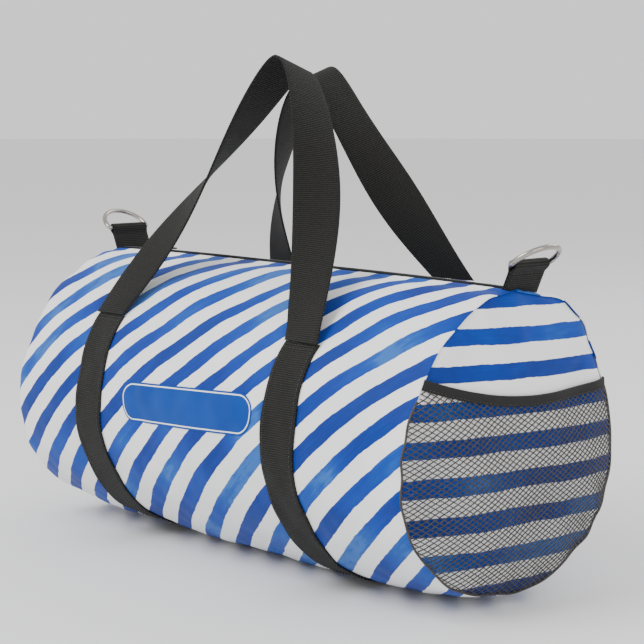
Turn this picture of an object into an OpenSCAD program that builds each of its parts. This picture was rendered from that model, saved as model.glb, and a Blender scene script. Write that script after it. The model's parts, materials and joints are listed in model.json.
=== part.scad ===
/* [Bag] */
// Length of the barrel between its two end seams
bag_length = 508; // [400:1:640]
// Outer radius of the barrel
body_radius = 124; // [95:1:155]
// How far the underside is pressed flat by its own weight
flat_cut = 4; // [2:0.5:8]
// Thickness of the outer fabric
wall = 1.5; // [1:0.1:2.5]
// How far each end panel domes outwards
end_bulge = 15; // [10:1:22]

/* [Lining] */
// Thickness of the lining
lining_wall = 0.8; // [0.5:0.1:1.2]
// Space between the outer fabric and the lining
lining_space = 1.2; // [1.1:0.1:3]
// Height of the bound seam allowance inside each end seam
seam_depth = 11; // [8:0.5:14]
// Thickness of the bound seam allowance
seam_wall = 4; // [3:0.5:6]

/* [Zip] */
// Width of the slot between the folded edges over the zip
zip_slot = 9.6; // [8.4:0.1:12]
// Distance from the zip's centre line to the outer edge of each tape
tape_reach = 16; // [13:0.5:20]
// Thickness of the zip tape
tape_wall = 0.8; // [0.5:0.1:1]
// Radius of each row of coils
coil_radius = 1.1; // [0.9:0.05:1.3]
// Gap between the two rows of coils
coil_gap = 1.6; // [1.4:0.1:2.2]
// Length of the slider body
slider_length = 11; // [9:0.5:14]
// Thickness of the slider's plates
slider_wall = 1.3; // [1:0.1:1.6]
// Distance of the slider's stop from the bag's end seams
slider_margin = 60; // [56:1:80]
// Length of the pull from its pin
pull_length = 27; // [20:1:32]
// Thickness of the pull
pull_wall = 1.4; // [1:0.1:1.6]
// Radius of the pull's pin
pull_pin = 0.9; // [0.8:0.05:1.1]

/* [Webbing] */
// Width of all webbing
web_width = 38; // [32:1:44]
// Thickness of the sewn webbing
web_wall = 1.6; // [1.2:0.1:2.2]
// Distance between the centre lines of the two belly bands
band_spacing = 254; // [200:1:300]
// Angle above the horizontal at which the bands end and the handles start
anchor_angle = 38; // [30:1:45]

/* [Handles] */
// Height of the front loop above its stitched ends
height_front = 231; // [180:1:270]
// Height of the rear loop above its stitched ends
height_rear = 217; // [180:1:270]
// Thickness of the handle webbing
handle_wall = 2.2; // [1.8:0.1:3]
// Inward lean of the front handle
lean_front = 23; // [16:1:24]
// Inward lean of the rear handle
lean_rear = 19.5; // [9:0.5:20]
// How far the front loop bows towards the bag at half height
bow_front = 8; // [0:1:16]
// How far the rear loop bows towards the bag at half height
bow_rear = 12; // [0:1:16]

/* [Rings] */
// Diameter of the ring wire
ring_wire = 4.2; // [3.5:0.1:5]
// Straight part of each side of the ring
ring_side = 4; // [2:0.5:8]
// Distance from the seam to the ring's bar along the tab
tab_length = 18; // [15:1:20]
// Outward lean of each tab
tab_lean = 25; // [15:1:30]
// Angle above the horizontal at which the rings lie at rest
ring_rise = 34; // [20:1:60]
// How far behind the zip the tabs are sewn, at the highest point of the ends when the bag lies back
tab_shift = 12; // [0:1:14]

/* [Pocket] */
// How far the net pocket stands out from the end seam
pocket_bulge = 28; // [26:1:34]
// Thickness of the net
net_wall = 1; // [0.8:0.1:1.4]
// Height of the lowest point of the pocket's mouth above the bag's axis
pocket_rise = 34; // [20:1:50]
// Radius of the sagging curve of the pocket's mouth
mouth_radius = 333; // [280:1:600]
// Distance of that lowest point from the bag's middle plane
mouth_shift = 38; // [0:1:45]
// Width of the elastic binding on the mouth
binding_width = 8; // [6:0.5:12]
// Thickness of the elastic binding
binding_wall = 1.8; // [1.4:0.1:2.4]

/* [Label] */
// Length of the blank name label
label_length = 172; // [120:1:174]
// Height of the blank name label, measured round the bag
label_height = 34; // [26:1:45]
// Thickness of the label
label_wall = 0.4; // [0.3:0.05:0.6]
// Distance of the label's centre from the bag's middle
label_shift = 13; // [-18:1:18]
// Angle of the label's centre line above the horizontal
label_rise = 5.5; // [-15:0.5:15]

/* [Hidden] */
$fn = 96;

sew_gap = 0.05;      // pieces sewn face to face
run_gap = 0.4;       // pieces that move past each other
bore_gap = 0.06;     // pins in their bores, all round
pad = 1;             // overrun of cutting blocks
dome_steps = 16;     // rings of a domed panel
loop_steps = 48;     // sections along a handle

half = bag_length / 2;
flat_depth = body_radius - flat_cut;
axis_z = flat_depth + web_wall;
lining_depth = wall + lining_space;
band_x = band_spacing / 2;
seam_inner = body_radius - wall - sew_gap - seam_depth;

coil_y = coil_gap / 2 + coil_radius;
tape_top = body_radius - wall - 0.1;
coil_z = tape_top - tape_wall / 2;
zip_half = half - 4;
zip_travel = 2 * (half - slider_margin);
slider_x = -zip_travel / 2;
slider_half = coil_y + coil_radius + 1.1;
plate_low = coil_z - coil_radius - run_gap - slider_wall;
plate_high = coil_z + coil_radius + run_gap;
crown_half = 1.2;
crown_top = plate_high + slider_wall + 2 * pull_pin + 1.2;
pull_z = plate_high + slider_wall + pull_pin + 0.5;
pull_half = crown_half + run_gap + 1.5;

anchor_radius = body_radius + web_wall + handle_wall / 2 + 0.7;
anchor_y = anchor_radius * cos(anchor_angle);
anchor_z = anchor_radius * sin(anchor_angle);
loop_side = 1.54;    // exponent of the loop's width: legs run in nearly straight
loop_top = 1.82;     // exponent of the loop's height: the top is a tight arch

ring_radius = ring_wire / 2;
ring_inner = web_width + 0.8;
ring_y = ring_inner / 2 + ring_radius;
eye_radius = ring_radius + bore_gap + web_wall;
tab_root = 8;
bar_x = half - 3 + tab_length * sin(tab_lean);
bar_z = body_radius + tab_length * cos(tab_lean);

// Radius of the ball whose cap has this edge radius and height
function ball(edge, bulge) = (edge * edge + bulge * bulge) / (2 * bulge);

// Height of that cap at radius r, lowered by skin along the ball's radius
function cap_height(r, edge, bulge, skin) =
  sqrt(pow(ball(edge, bulge) - skin, 2) - r * r) - ball(edge, bulge) + bulge;

// Radius at which the lowered cap meets its base plane
function cap_edge(edge, bulge, skin) =
  sqrt(pow(ball(edge, bulge) - skin, 2) - pow(ball(edge, bulge) - bulge, 2));

function smooth(t) = let (c = min(1, max(0, t))) c * c * (3 - 2 * c);

// Barrel along X with a flat underside, skin mm inside the outer surface
module barrel(skin, reach) {
  r = body_radius - skin;
  drop = flat_depth - skin;
  intersection() {
    rotate([0, 90, 0]) cylinder(r = r, h = 2 * reach, center = true);
    translate([-reach - pad, -r - pad, -drop])
      cube([2 * (reach + pad), 2 * (r + pad), r + drop + pad]);
  }
}

// Solid turned about the X axis, starting at the right end seam
module turned(points) {
  translate([half, 0, 0]) rotate([0, 90, 0]) rotate_extrude() polygon(points);
}

// Everything above the flat underside, skin mm higher
module above_flat(skin) {
  big = 4 * body_radius;
  translate([-big, -big, -flat_depth + skin]) cube([2 * big, 2 * big, 2 * big]);
}

module at_axis() {
  translate([0, 0, axis_z]) children();
}

// Domed end skin between two depths, out to the radius edge_out
module dome_shell(skin_out, skin_in, edge_out, edge_in) {
  outer = [for (i = [0:dome_steps]) let (r = edge_out * i / dome_steps)
    [r, cap_height(r, body_radius, end_bulge, skin_out)]];
  inner = [for (i = [dome_steps:-1:0]) let (r = edge_in * i / dome_steps)
    [r, cap_height(r, body_radius, end_bulge, skin_in)]];
  intersection() {
    turned(concat(outer, inner));
    above_flat(0);
  }
}

// Slot cut along the top over the zip
module zip_cut(slot) {
  translate([-half - pad, -slot / 2, 0]) cube([2 * (half + pad), slot, 2 * body_radius]);
}

module body_panel() {
  color("royalblue") at_axis() difference() {
    barrel(0, half);
    barrel(wall, half + pad);
    zip_cut(zip_slot);
  }
}

module end_panel() {
  dome_shell(0, wall, body_radius, cap_edge(body_radius, end_bulge, wall));
}

module end_panel_right() {
  color("royalblue") at_axis() end_panel();
}

module end_panel_left() {
  color("royalblue") at_axis() mirror([1, 0, 0]) end_panel();
}

module body_lining() {
  reach = half - seam_wall - 1;
  color("gainsboro") at_axis() difference() {
    barrel(lining_depth, reach);
    barrel(lining_depth + lining_wall, reach + pad);
    zip_cut(2 * tape_reach - 4);
  }
}

module end_lining() {
  skin = wall + 0.3;
  dome_shell(skin, skin + lining_wall, seam_inner, seam_inner);
}

module end_lining_right() {
  color("gainsboro") at_axis() end_lining();
}

module end_lining_left() {
  color("gainsboro") at_axis() mirror([1, 0, 0]) end_lining();
}

module seam_binding() {
  difference() {
    intersection() {
      barrel(wall + sew_gap, half - 0.5);
      translate([half - 0.5 - seam_wall, -body_radius, -body_radius])
        cube([seam_wall, 2 * body_radius, 2 * body_radius]);
    }
    barrel(wall + sew_gap + seam_depth, half + pad);
    zip_cut(2 * tape_reach + 2);
  }
}

module seam_binding_right() {
  color("black") at_axis() seam_binding();
}

module seam_binding_left() {
  color("black") at_axis() mirror([1, 0, 0]) seam_binding();
}

// One half of the zip tape: a curved strip from the coils outwards
module zipper_tape() {
  tape_start = coil_y + coil_radius;
  skin = body_radius - tape_top;
  intersection() {
    difference() {
      barrel(skin, zip_half);
      barrel(skin + tape_wall, zip_half + pad);
    }
    translate([-half, tape_start, 0]) cube([2 * half, tape_reach - tape_start, 2 * body_radius]);
  }
}

module zipper_tape_rear() {
  color("black") at_axis() zipper_tape();
}

module zipper_tape_front() {
  color("black") at_axis() mirror([0, 1, 0]) zipper_tape();
}

module zipper_coil() {
  translate([0, coil_y, coil_z]) rotate([0, 90, 0])
    cylinder(r = coil_radius, h = 2 * zip_half, center = true);
}

module zipper_coil_rear() {
  color("black") at_axis() zipper_coil();
}

module zipper_coil_front() {
  color("black") at_axis() mirror([0, 1, 0]) zipper_coil();
}

// Block centred on X and Y, between two heights
module block(length, width, low, high) {
  translate([-length / 2, -width / 2, low]) cube([length, width, high - low]);
}

module zipper_slider() {
  post = coil_gap - 2 * run_gap;
  lip = tape_top + run_gap;
  color("black") at_axis() translate([slider_x, 0, 0]) difference() {
    union() {
      block(slider_length, 2 * slider_half, plate_low, plate_low + slider_wall);
      block(slider_length, 2 * slider_half, plate_high, plate_high + slider_wall);
      block(slider_length / 2, post, plate_low, plate_high + slider_wall);
      block(slider_length * 0.6, 2 * crown_half, plate_high, crown_top);
      for (side = [-1, 1])
        translate([0, side * (slider_half - 0.35), 0]) block(slider_length, 0.7, lip, plate_high + slider_wall);
    }
    translate([0, 0, pull_z]) rotate([90, 0, 0])
      cylinder(r = pull_pin + bore_gap, h = 4 * crown_half, center = true);
  }
}

module zipper_pull() {
  arm = pull_half - crown_half - run_gap;
  color("black") at_axis() translate([slider_x, 0, pull_z]) {
    rotate([90, 0, 0]) cylinder(r = pull_pin, h = 2 * pull_half, center = true);
    difference() {
      translate([-pull_wall / 2, 0, 0]) union() {
        for (side = [-1, 1])
          translate([0, side * (pull_half - arm / 2) - arm / 2, -pull_wall / 2])
            cube([slider_length, arm, pull_wall]);
        translate([slider_length - arm, -pull_half, -pull_wall / 2])
          cube([pull_length - slider_length + arm, 2 * pull_half, pull_wall]);
      }
      translate([pull_length - 4, 0, 0]) cylinder(r = 1.5, h = 2 * pull_wall, center = true);
    }
  }
}

// Webbing sewn round the underside, between the two handle anchors
module belly_band(x) {
  low = -flat_depth - web_wall;
  color("black") at_axis() translate([x, 0, 0]) intersection() {
    difference() {
      barrel(-web_wall, web_width / 2);
      barrel(-sew_gap, web_width / 2 + pad);
    }
    translate([-web_width, -2 * body_radius, low])
      cube([2 * web_width, 4 * body_radius, body_radius * sin(anchor_angle) - low]);
  }
}

module belly_band_left() {
  belly_band(-band_x);
}

module belly_band_right() {
  belly_band(band_x);
}

// Point of a handle's centre line in its own plane: x along the bag, u up the loop
function loop_point(a, height, bow) = [
  -band_x * sign(cos(a)) * pow(abs(cos(a)), loop_side),
  bow * sin(180 * pow(sin(a), loop_top)),
  height * pow(sin(a), loop_top)
];

function unit(v) = v / norm(v);

// Four corners of the webbing at angle a: flat to the bag and square to the bands at its ends,
// turned flat to the hand on top, its outer face up with twist 1 and its inner face up with twist -1
function loop_section(a, height, bow, twist) =
  let (
    step = 1,
    rise = pow(sin(a), loop_top),
    tangent = unit(loop_point(min(180, a + step), height, bow) - loop_point(max(0, a - step), height, bow)),
    turn = 90 * twist * smooth((rise - 0.15) / 0.6),
    outward = unit(cross(tangent, [0, 1, 0])),
    face = unit(cross(outward, tangent)),
    normal = cos(turn) * face - sin(turn) * outward,
    square = smooth(rise / 0.15),
    across = unit(square * cross(tangent, normal) - (1 - square) * sign(cos(a)) * [1, 0, 0]),
    c = loop_point(a, height, bow)
  )
  [for (k = [[-1, -1], [1, -1], [1, 1], [-1, 1]])
    c + k[0] * across * web_width / 2 + k[1] * normal * handle_wall / 2];

// Free loop of webbing: a rectangle swept along the loop, standing on the line through the origin
module handle_loop(height, bow, twist) {
  points = [for (i = [0:loop_steps], p = loop_section(180 * i / loop_steps, height, bow, twist)) p];
  last = 4 * loop_steps;
  sides = [for (i = [0:loop_steps - 1], j = [0:3])
    let (a = 4 * i + j, b = 4 * i + (j + 1) % 4)
    each [[a, b, b + 4], [a, b + 4, a + 4]]];
  ends = [[0, 3, 2], [0, 2, 1], [last, last + 1, last + 2], [last, last + 2, last + 3]];
  polyhedron(points = points, faces = concat(sides, ends));
}

module handle_front() {
  color("black") at_axis() translate([0, -anchor_y, anchor_z]) rotate([-lean_front, 0, 0])
    handle_loop(height_front, bow_front, 1);
}

module handle_rear() {
  color("black") at_axis() mirror([0, 1, 0])
    translate([0, -anchor_y, anchor_z]) rotate([-lean_rear, 0, 0])
      handle_loop(height_rear, bow_rear, -1);
}

// Doubled webbing that holds the ring's bar in its fold
module ring_tab() {
  difference() {
    translate([bar_x, tab_shift, bar_z]) rotate([0, tab_lean, 0]) difference() {
      union() {
        rotate([90, 0, 0]) cylinder(r = eye_radius, h = web_width, center = true);
        translate([-web_wall, -web_width / 2, -tab_length - tab_root])
          cube([2 * web_wall, web_width, tab_length + tab_root]);
      }
      rotate([90, 0, 0]) cylinder(r = ring_radius + bore_gap, h = web_width + pad, center = true);
    }
    barrel(-sew_gap, half + 2 * tab_length);
  }
}

module ring_tab_right() {
  color("black") at_axis() ring_tab();
}

module ring_tab_left() {
  color("black") at_axis() mirror([1, 0, 0]) ring_tab();
}

// Wire ring: bar in the tab, two short sides and a half circle
module d_ring() {
  translate([bar_x, tab_shift, bar_z]) rotate([0, -ring_rise, 0]) {
    rotate([90, 0, 0]) cylinder(r = ring_radius, h = 2 * ring_y, center = true);
    for (side = [-1, 1]) translate([0, side * ring_y, 0]) {
      sphere(r = ring_radius);
      rotate([0, 90, 0]) cylinder(r = ring_radius, h = ring_side);
    }
    translate([ring_side, 0, 0]) rotate([0, 0, -90])
      rotate_extrude(angle = 180) translate([ring_y, 0]) circle(r = ring_radius);
  }
}

module d_ring_right() {
  color("silver") at_axis() d_ring();
}

module d_ring_left() {
  color("silver") at_axis() mirror([1, 0, 0]) d_ring();
}

// Height of the pocket's outside above the end seam's plane, proud mm further out
function pocket_height(r, proud) = cap_height(r, body_radius, pocket_bulge, -proud);

// Pocket skin between two surfaces, never nearer the end panel than the sewing
module pocket_shell(proud, thick) {
  edge = body_radius - 3;
  outer = [for (i = [0:dome_steps]) let (r = edge * i / dome_steps) [r, pocket_height(r, proud)]];
  inner = [for (i = [dome_steps:-1:0]) let (r = edge * i / dome_steps)
    [r, max(pocket_height(r, proud - thick), cap_height(r, body_radius, end_bulge, 0) + sew_gap)]];
  intersection() {
    turned(concat(outer, inner));
    above_flat(0.2);
  }
}

// Everything above the sagging mouth line, lowered by drop
module over_mouth(drop) {
  translate([0, mouth_shift, pocket_rise + mouth_radius]) rotate([0, 90, 0])
    cylinder(r = mouth_radius + drop, h = 2 * bag_length);
}

module mesh_pocket() {
  color("dimgray") at_axis() difference() {
    pocket_shell(0, net_wall);
    over_mouth(binding_width);
  }
}

module pocket_binding() {
  color("black") at_axis() difference() {
    intersection() {
      pocket_shell(0.4, binding_wall);
      over_mouth(binding_width);
    }
    over_mouth(0);
  }
}

module name_label() {
  sweep = label_height / body_radius * 180 / PI;
  color("steelblue") at_axis() translate([label_shift - label_length / 2, 0, 0])
    rotate([0, 90, 0]) rotate([0, 0, 270 - label_rise - sweep / 2])
      rotate_extrude(angle = sweep)
        translate([body_radius + sew_gap, 0]) square([label_wall, label_length]);
}

body_panel();
end_panel_left();
end_panel_right();
body_lining();
end_lining_left();
end_lining_right();
seam_binding_left();
seam_binding_right();
zipper_tape_front();
zipper_tape_rear();
zipper_coil_front();
zipper_coil_rear();
zipper_slider();
zipper_pull();
belly_band_left();
belly_band_right();
handle_front();
handle_rear();
ring_tab_left();
ring_tab_right();
d_ring_left();
d_ring_right();
mesh_pocket();
pocket_binding();
name_label();
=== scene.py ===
import json
import math

import bpy
import numpy as np
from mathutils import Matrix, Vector


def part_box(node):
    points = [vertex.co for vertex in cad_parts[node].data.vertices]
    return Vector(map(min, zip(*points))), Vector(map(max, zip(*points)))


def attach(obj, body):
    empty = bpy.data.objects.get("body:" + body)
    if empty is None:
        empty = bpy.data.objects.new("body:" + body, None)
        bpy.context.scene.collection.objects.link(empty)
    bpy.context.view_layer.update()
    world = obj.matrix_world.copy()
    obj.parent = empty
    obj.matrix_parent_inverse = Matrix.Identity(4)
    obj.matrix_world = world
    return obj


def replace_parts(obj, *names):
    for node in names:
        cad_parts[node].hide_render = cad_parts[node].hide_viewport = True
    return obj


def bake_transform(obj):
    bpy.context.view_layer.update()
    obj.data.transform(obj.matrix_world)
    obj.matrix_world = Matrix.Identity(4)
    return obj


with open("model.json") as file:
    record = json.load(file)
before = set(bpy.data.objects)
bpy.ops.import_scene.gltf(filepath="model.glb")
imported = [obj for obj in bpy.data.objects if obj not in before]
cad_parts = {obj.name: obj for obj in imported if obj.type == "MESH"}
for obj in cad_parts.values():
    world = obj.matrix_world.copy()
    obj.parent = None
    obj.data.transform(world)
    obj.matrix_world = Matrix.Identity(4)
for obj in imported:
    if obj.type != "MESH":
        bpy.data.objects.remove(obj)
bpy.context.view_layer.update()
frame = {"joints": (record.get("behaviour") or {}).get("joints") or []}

joint = {item["name"]: item for item in frame["joints"]}

# ---------------- sizes in millimetres, angles in degrees

half_length = 254.0       # end seam from the middle of the bag
axis_height = 123.6       # middle line of the barrel above the floor
mid_wide, mid_tall = 126.5, 122.0      # half width and half height in the middle
end_wide, end_tall = 115.1, 117.7      # the same at the end seams
end_lift = 2.5            # how far the end seams' centre sits higher
end_pear = -0.133         # end sections are wider low down and narrower on top
floor_gap = 1.6           # the cloth rests this far up, on its bands
end_bulge = 15.0          # swell of the filled ends
cloth_thick = 0.8
mean_radius = 124.0       # carries an angle round the barrel into a length
end_radius = 118.0        # the same for the ends
end_centre = axis_height + end_lift

zip_slot = 9.6            # gap between the two folded cloth edges
stitch_inset = 6.5        # topstitching from the cloth's edge
zip_run = 250.0           # half the zip's length

band_x = 127.0            # bands and handles each side of the middle
web_wide, web_thick = 38.0, 1.6
band_middle, band_top = 0.95, 1.8      # heights in a band above the cloth
rib_pitch = 1.75
anchor = 38.0             # angle up the bag's side where the handles leave it
handle_foot = (0, -100.6, 199.6)     # middle between the front handle's two ends
ring_wire = 2.1           # radius of the rings' wire

stripe_period = 27.4      # one blue and one white stripe
stripe_slant = 41.0       # stripes against the bag's length


def ease(x):
    """Smooth step: 0 below 0, 1 above 1, level at both ends."""
    x = np.clip(x, 0, 1)
    return x * x * (3 - 2 * x)


def unit(v):
    """Each vector divided by its own length."""
    return v / np.maximum(np.linalg.norm(v, axis=-1, keepdims=True), 1e-9)


def stack(*parts):
    """Coordinates brought to one shape and joined as the last axis."""
    return np.stack(np.broadcast_arrays(*parts), -1).astype(float)


def hill(value, middle, width):
    """Bell curve of height 1 about middle, down to about a third at width from it."""
    return np.exp(-((value - middle) / width) ** 2)


def ripple(a, b, seed, shortest, longest, waves=9):
    """Sum of sine waves over a and b in mm, with seeded headings and lengths, at unit strength."""
    rng = np.random.default_rng(seed)
    total = 0
    for heading, length, start in rng.uniform([0, shortest, 0], [math.pi, longest, 2 * math.pi], (waves, 3)):
        total = total + np.sin(2 * math.pi * (a * math.cos(heading) + b * math.sin(heading)) / length + start)
    return total * math.sqrt(2 / waves)


# ---------------- the filled bag's form

def barrel(x, turn):
    """Oval section at x, turn measured up from the front. Towards both ends the half width and the half
    height ease to the end seam's, the width leans low by a share of the sine, and the underside is
    pressed level on the floor by a rounded maximum."""
    end = np.clip((np.abs(x) / half_length - 0.35) / 0.65, 0, 1) ** 2
    up = np.sin(turn)
    wide = mid_wide + end * (end_wide - mid_wide)
    tall = mid_tall + end * (end_tall - mid_tall)
    y = -wide * np.cos(turn) * (1 + end * end_pear * up)
    z = axis_height + end * end_lift + tall * up
    z = z - 3 * (1 - end) * np.maximum(-up, 0) ** 6 - floor_gap
    return stack(x, y, floor_gap + (z + np.sqrt(z * z + 1.2)) / 2)


def puff(x, turn):
    """How far the filled cloth stands off the plain barrel: drawn in under the bands and at the end seams,
    short folds fanning out of the seams, a full shoulder at the right end's upper rear, and slow
    unevenness. All but the seams' crease fades beside the zip, where the cloth sinks a little. The turn is
    first wrapped to run from -270 degrees, behind the zip, to 90 in front of it."""
    turn = (turn - math.pi / 2) % (2 * math.pi) - 1.5 * math.pi
    side = np.abs(x)
    drawn = -1.6 * hill(side, band_x, 28) + 1.1 * hill(side, 195, 34)
    to_seam = np.maximum(half_length - side, 0)
    fan = np.sin(19 * turn + 1.4 * np.sin(5 * turn) + np.sign(x))
    fold = np.exp(-to_seam / 24) * fan * (0.55 + 0.45 * np.sin(3 * turn + 2 * np.sign(x)))
    crease = -1.6 * np.exp(-to_seam / 3.2)
    run = mean_radius * turn
    uneven = 0.75 * ripple(x, run, 5, 70, 190) + 0.25 * ripple(x, run, 6, 22, 50)
    pull = -1.6 * hill(side, band_x, 30) * hill(turn, math.radians(anchor + 8), 0.16)
    shoulder = 8.5 * hill(x, half_length, 70) * hill(turn, math.radians(-228), 0.33)
    to_zip = np.abs((turn - math.pi / 2 + math.pi) % (2 * math.pi) - math.pi)
    sink = -0.9 * hill(to_zip, 0.13, 0.07)
    return crease + sink + (drawn + fold + uneven + pull + shoulder) * ease(to_zip / 0.45)


def facing(shape, x, turn):
    """Outward normal of shape(x, turn), from central differences."""
    step_x = shape(x + 0.5, turn) - shape(x - 0.5, turn)
    step_turn = shape(x, turn + 0.004) - shape(x, turn - 0.004)
    return unit(np.cross(step_x, step_turn))


def filled(x, turn):
    """The barrel, moved out along its own normal by puff."""
    return barrel(x, turn) + facing(barrel, x, turn) * puff(x, turn)[..., None]


def skin(x, turn, lift=0.0):
    """Outside of the cloth at x and turn, moved lift mm outwards along its own normal."""
    x, turn = np.broadcast_arrays(np.asarray(x, float), np.asarray(turn, float))
    points = filled(x, turn)
    if np.any(lift):
        points = points + facing(filled, x, turn) * np.asarray(lift, float)[..., None]
    return points


# ---------------- mesh building

def mesh_piece(name, points, faces, material, uv=None, marks=None, sharp=50):
    """Object from points in mm and faces, with a UV pair and named values for each point."""
    mesh = bpy.data.meshes.new(name)
    points = np.asarray(points, float).reshape(-1, 3) / 1000
    mesh.from_pydata(points.tolist(), [], [f for part in faces for f in np.asarray(part).tolist()])
    corner = np.empty(len(mesh.loops), np.int32)
    mesh.loops.foreach_get("vertex_index", corner)
    if uv is not None:
        layer = mesh.uv_layers.new(name="cloth")
        layer.data.foreach_set("uv", np.asarray(uv, float).reshape(-1, 2)[corner].astype(np.float32).ravel())
    for mark, values in (marks or {}).items():
        layer = mesh.attributes.new(mark, "FLOAT", "POINT")
        layer.data.foreach_set("value", np.asarray(values, np.float32).ravel())
    mesh.shade_smooth()
    mesh.set_sharp_from_angle(angle=math.radians(sharp))
    mesh.materials.append(material)
    piece = bpy.data.objects.new(name, mesh)
    bpy.context.scene.collection.objects.link(piece)
    return piece


def quads(rows, columns, loop_rows=False, loop_columns=False, first=0):
    """Four-sided faces of a grid of points, their front where rows run into columns by the right hand."""
    i = np.arange(rows if loop_rows else rows - 1)[:, None]
    j = np.arange(columns if loop_columns else columns - 1)[None]
    below, beside = (i + 1) % rows * columns, (j + 1) % columns
    corners = [i * columns + j, below + j, below + beside, i * columns + beside]
    return first + np.stack(np.broadcast_arrays(*corners), -1).reshape(-1, 4)


def rim(outer, inner):
    """Faces between two rows of point numbers, the first row's grid lying to the left."""
    return np.stack([outer[:-1], outer[1:], inner[1:], inner[:-1]], -1)


def slab(name, outer, inner, material, uv=None, marks=None, loop=False):
    """Closed thin solid between two grids of points: both faces, and a rim round every open side."""
    rows, columns = outer.shape[:2]
    number = np.arange(rows * columns).reshape(rows, columns)
    under = number + rows * columns
    faces = [quads(rows, columns, False, loop), quads(rows, columns, False, loop, rows * columns)[:, ::-1]]
    edge = np.append(number[0], number[0, 0]) if loop else number[0]
    last = np.append(number[-1], number[-1, 0]) if loop else number[-1]
    faces.append(rim(edge, edge + rows * columns))
    faces.append(rim(last[::-1], last[::-1] + rows * columns))
    if not loop:
        faces.append(rim(number[::-1, 0], under[::-1, 0]))
        faces.append(rim(number[:, -1], under[:, -1]))
    points = np.concatenate([outer.reshape(-1, 3), inner.reshape(-1, 3)])
    if uv is not None:
        uv = np.concatenate([np.asarray(uv).reshape(-1, 2)] * 2)
    marks = {key: np.concatenate([np.ravel(value)] * 2) for key, value in (marks or {}).items()}
    return mesh_piece(name, points, faces, material, uv, marks)


def arc_length(path):
    """Distance along a line of points from its first one."""
    steps = np.linalg.norm(np.diff(path, axis=0), axis=1)
    return np.concatenate([[0], np.cumsum(steps)])


def ahead(path, loop=False):
    """Unit heading at each point along a path, or round a closed one."""
    return unit(np.roll(path, -1, 0) - np.roll(path, 1, 0) if loop else np.gradient(path, axis=-2))


def even(count_or_step, path, *others):
    """Path and its companion rows, sampled again at equal steps along it. Returns the distances too."""
    along = arc_length(path)
    count = count_or_step if isinstance(count_or_step, int) else int(along[-1] / count_or_step) + 1
    at = np.linspace(0, along[-1], count)
    again = [np.stack([np.interp(at, along, row[:, k]) for k in range(3)], -1) for row in (path, *others)]
    return at, *again


def flat_profile(width, thick, across=9, round_steps=3):
    """Closed outline of a flat strip with half-round edges, as pairs across and up."""
    r = thick / 2
    run = np.linspace(-(width / 2 - r), width / 2 - r, across)
    bend = np.linspace(-90, 90, round_steps + 2)[1:-1] * math.pi / 180
    right = np.stack([width / 2 - r + r * np.cos(bend), r * np.sin(bend)], -1)
    low = np.stack([run, np.full(across, -r)], -1)
    return np.concatenate([low, right, -low, -right])


def sweep(name, path, across, up, profile, material, swell=None, loop=False, sharp=50):
    """Profile carried along a path: path + across * first + up * second, with both ends closed.
    swell is a factor on the second part for each point of the path. UV is metres across and along."""
    rows, columns = len(path), len(profile)
    high = profile[None, :, 1] * (1 if swell is None else swell[:, None])
    points = path[:, None] + across[:, None] * profile[None, :, :1] + up[:, None] * high[..., None]
    faces = [quads(rows, columns, loop, True)]
    if not loop:
        faces.append(np.arange(columns)[None])
        faces.append(np.arange(columns)[None, ::-1] + (rows - 1) * columns)
    along = arc_length(path)
    uv = stack(profile[None, :, 0] + 0 * along[:, None], along[:, None] + 0 * profile[None, :, 0]) / 1000
    return mesh_piece(name, points, faces, material, uv, sharp=sharp)


def around(count):
    """Angles of count even steps round a circle."""
    return np.arange(count) * 2 * math.pi / count


def tube_profile(radius, sides):
    """Round outline of a wire."""
    turn = around(sides)
    return radius * np.stack([np.cos(turn), np.sin(turn)], -1)


def ribbed(path, across, up, name, thick=web_thick):
    """Webbing: a flat strip carried along the path, swollen by one rounded rib each pitch."""
    along, path, across, up = even(rib_pitch / 4, path, across, up)
    rib = np.abs(np.sin(math.pi * along / rib_pitch))
    profile = flat_profile(web_wide, thick, 11)
    return sweep(name, path, unit(across), unit(up), profile, webbing, 0.82 + 0.3 * rib)


def stitches(name, path, up, material, length=2.7, radius=0.32):
    """Row of thread stitches along a path: each a short spindle of six sides, bowed over the cloth."""
    gap, sink = 1.0, 0.1
    total = arc_length(path)[-1]
    count = max(int(total / (length + gap)), 1)
    starts = (np.arange(count) + 0.5) * total / count
    steps = np.linspace(-0.5, 0.5, 6)
    at = starts[:, None] + steps[None] * length
    along = arc_length(path)
    line = np.stack([np.interp(at, along, path[:, k]) for k in range(3)], -1)
    high = unit(np.stack([np.interp(at, along, up[:, k]) for k in range(3)], -1))
    heading = unit(line[:, -1:] - line[:, :1])
    across = unit(np.cross(high, heading))
    thin = radius * np.sqrt(np.maximum(1 - (1.96 * steps) ** 2, 0.02))[None, :, None, None]
    bow = (radius * (1 - (2 * steps) ** 2) - sink)[None, :, None]
    turn = around(6)[:, None]
    centre = (line + high * bow)[:, :, None]
    points = centre + thin * (across[:, :, None] * np.cos(turn) + high[:, :, None] * np.sin(turn))
    tips = [[0, 1, 2, 3], [0, 3, 4, 5], [33, 32, 31, 30], [35, 34, 33, 30]]
    one = np.concatenate([quads(6, 6, False, True), tips])
    faces = one[None, :, ::-1] + 36 * np.arange(count)[:, None, None]
    return mesh_piece(name, points, [faces.reshape(-1, 4)], material)


def join(name, *parts):
    """Several meshes as one object."""
    with bpy.context.temp_override(active_object=parts[0], selected_editable_objects=list(parts)):
        bpy.ops.object.join()
    parts[0].name = parts[0].data.name = name
    return parts[0]


# ---------------- finishes

def srgb(red, green, blue):
    """Colour given as 0 to 255 screen values, in linear light."""
    value = np.array([red, green, blue]) / 255
    linear = np.where(value < 0.04045, value / 12.92, ((value + 0.055) / 1.055) ** 2.4)
    return (*[float(v) for v in linear], 1)


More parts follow.
